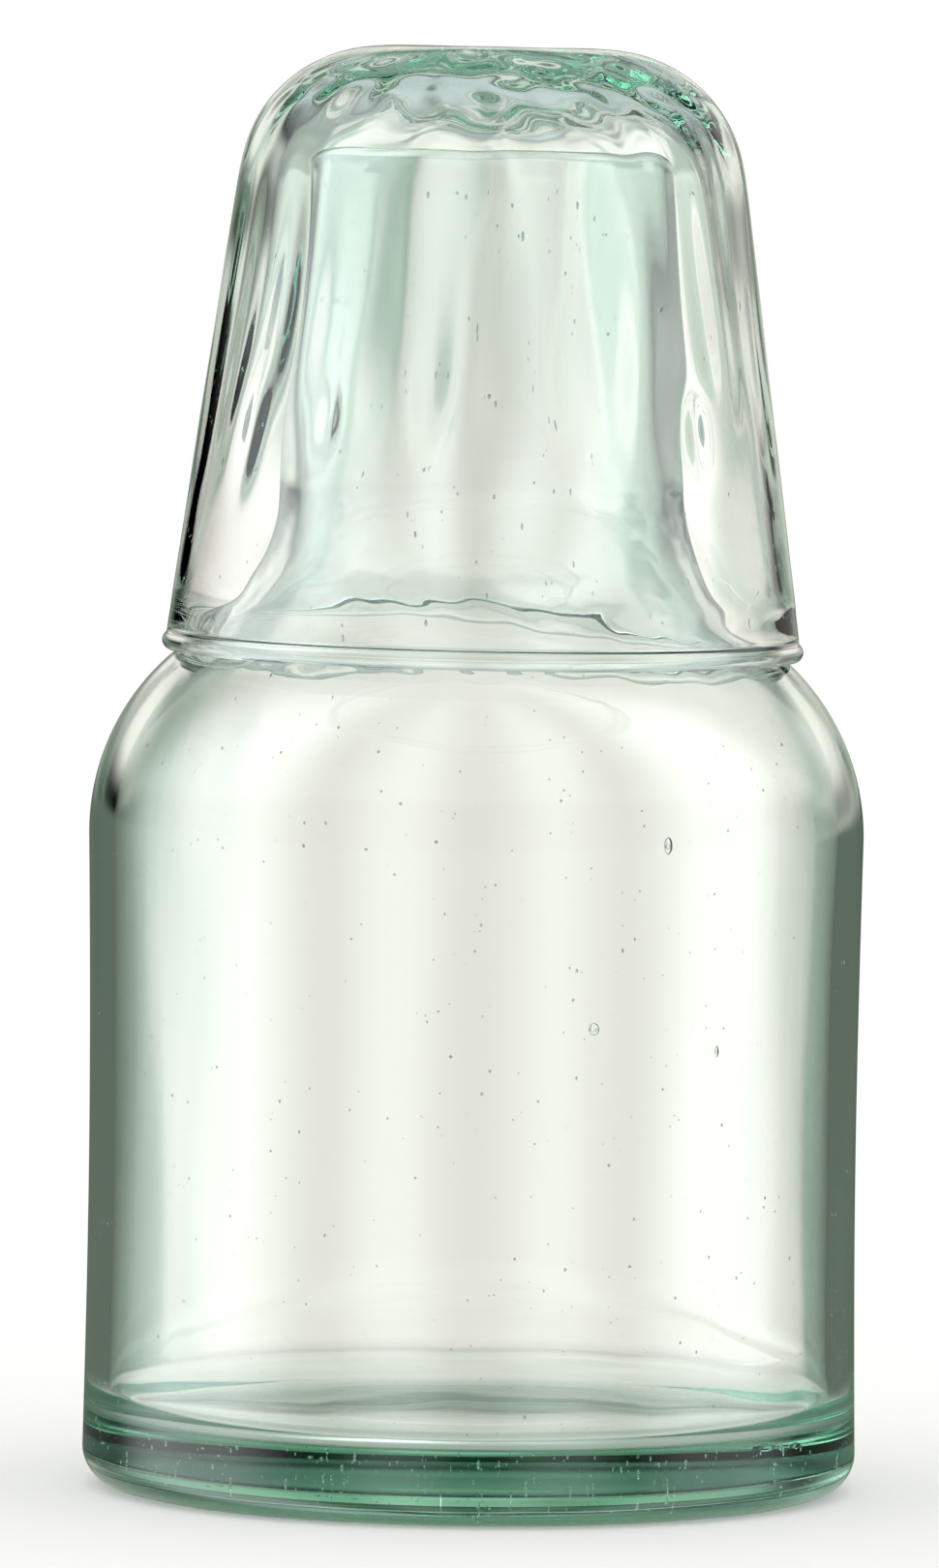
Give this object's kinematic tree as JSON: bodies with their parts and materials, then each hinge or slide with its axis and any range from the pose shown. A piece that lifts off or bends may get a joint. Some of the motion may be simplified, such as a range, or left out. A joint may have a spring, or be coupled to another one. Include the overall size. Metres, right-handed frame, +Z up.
{
  "type": "carafe with tumbler",
  "caption": "Round-shouldered glass water carafe with a tall neck and a tapered glass tumbler turned over the neck as its cover.",
  "frame": {"origin": "middle of the carafe's flat underside", "axes": "+Z up along the axis that both pieces are turned about, +X to the right and +Y away from the viewer of the picture"},
  "size_m": [0.122, 0.122, 0.227],
  "materials": {
    "carafe_glass": "clear blown recycled glass, smooth and fire-polished, pale sea green where it is thick, with fine seeds",
    "tumbler_glass": "clear blown recycled glass, smooth and fire-polished, sea green in its thick foot, with fine seeds"
  },
  "bodies": {
    "carafe": {"carafe": "carafe_glass"},
    "tumbler": {"tumbler": "tumbler_glass"}
  },
  "joints": [
    {"name": "tumbler_lift", "type": "slide", "parent": "carafe", "child": "tumbler", "axis": [0, 0, 1], "range_m": [0, 0.09]}
  ]
}
